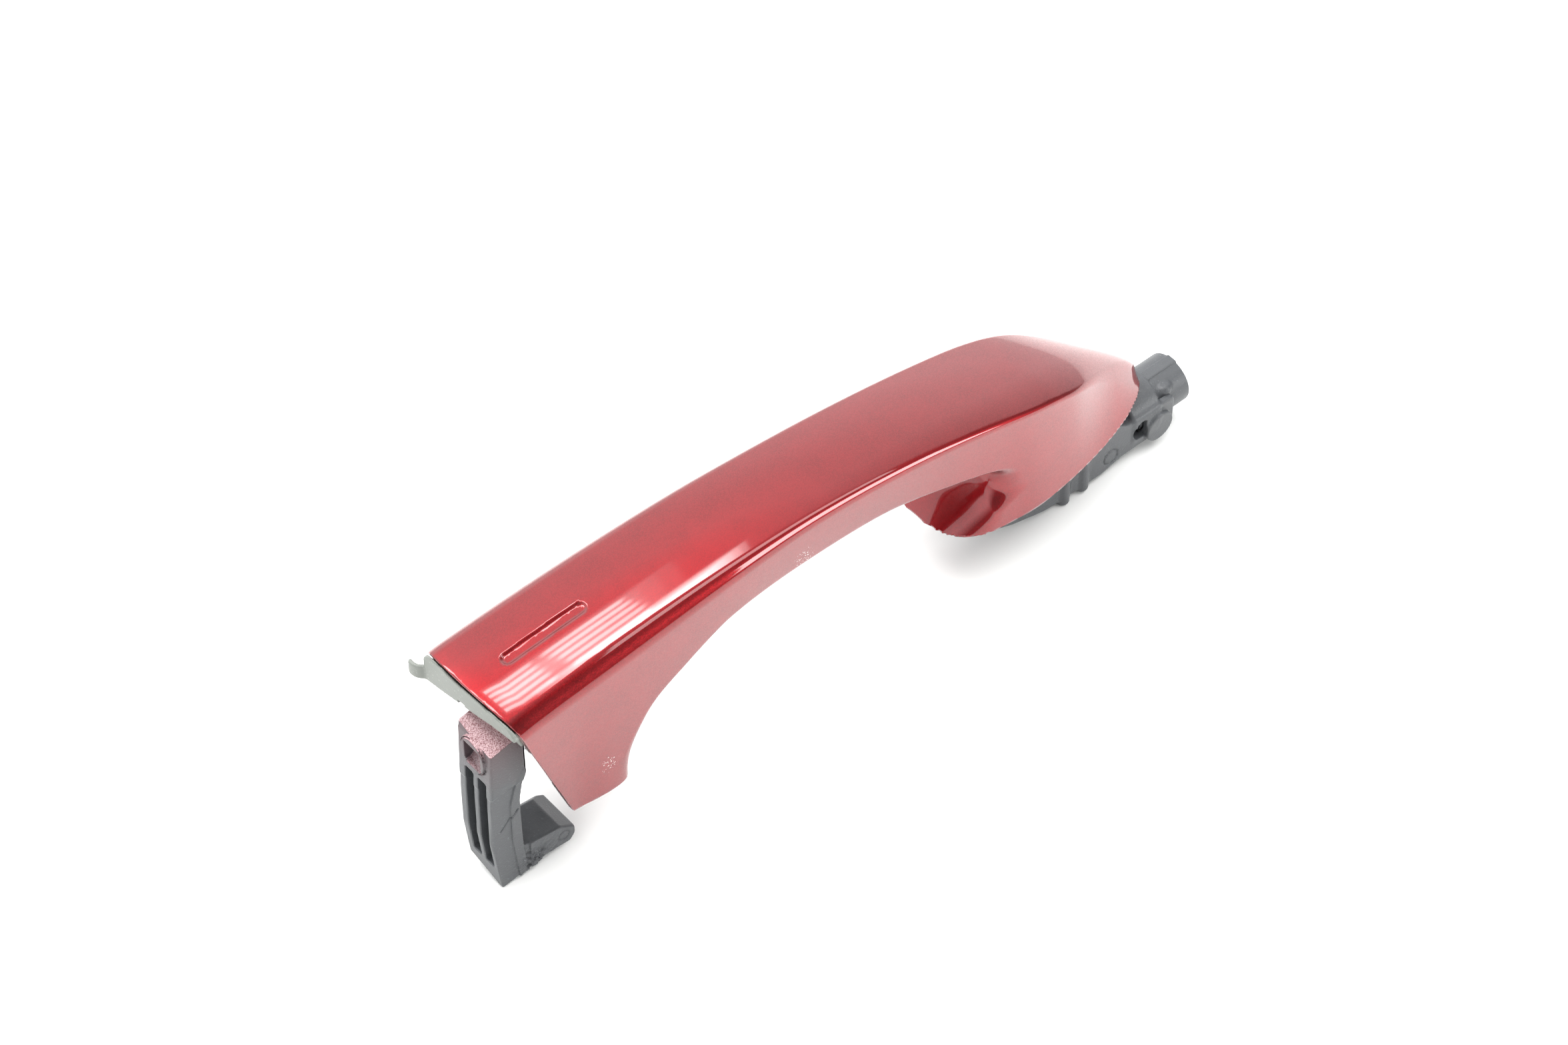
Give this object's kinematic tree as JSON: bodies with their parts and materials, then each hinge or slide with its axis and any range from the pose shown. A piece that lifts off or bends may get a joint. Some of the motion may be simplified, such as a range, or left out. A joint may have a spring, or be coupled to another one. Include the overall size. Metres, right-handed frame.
{
  "type": "exterior car door pull handle",
  "caption": "Arched pull handle of a car door, with a hook arm, a pivot arm with a connector, a touch groove and keyless-entry electronics in the grip.",
  "frame": {"origin": "middle of the hook-end seat, on the door skin plane", "axes": "+X from the hook end to the pivot end along the grip, +Z out of the door, +Y across the grip"},
  "size_m": [0.2234, 0.0373, 0.0683],
  "materials": {
    "paint": "metallic deep red under glossy clear coat",
    "arm_plastic": "dark grey glass-filled plastic, red overspray on the arm's top",
    "end_plastic": "light grey-green moulded plastic",
    "inner_plastic": "black moulded plastic",
    "screw_steel": "zinc plated",
    "copper": "bare copper alloy",
    "wire_insulation": "smooth black insulation",
    "board": "solder-masked laminate",
    "ceramic": "sintered ferrite and ceramic",
    "foam": "closed-cell foam"
  },
  "bodies": {
    "root": {"outer_cover": "paint", "grip_inner_shell": "paint", "end_plate": "end_plastic", "hook_arm": "arm_plastic", "hook_arm_screw": "screw_steel", "hook_foot_insert": "inner_plastic", "pivot_arm": "arm_plastic", "pivot_screw_near": "screw_steel", "pivot_screw_far": "screw_steel", "connector_shell": "arm_plastic", "terminal_carrier": "inner_plastic", "terminal_pin_1": "copper", "terminal_pin_2": "copper", "terminal_pin_3": "copper", "terminal_pin_4": "copper", "lead_1": "wire_insulation", "lead_2": "wire_insulation", "lead_3": "wire_insulation", "lead_4": "wire_insulation", "lock_electrode": "copper", "unlock_electrode": "copper", "lock_lead": "wire_insulation", "unlock_lead": "wire_insulation", "winding_lead_near": "copper", "winding_lead_far": "copper", "electronics_tray": "inner_plastic", "antenna_bobbin": "inner_plastic", "ferrite_core": "ceramic", "antenna_winding": "copper", "circuit_board": "board", "controller_chip": "inner_plastic", "sensor_chip": "inner_plastic", "capacitor_1": "ceramic", "capacitor_2": "ceramic", "foam_pad": "foam"}
  },
  "joints": []
}
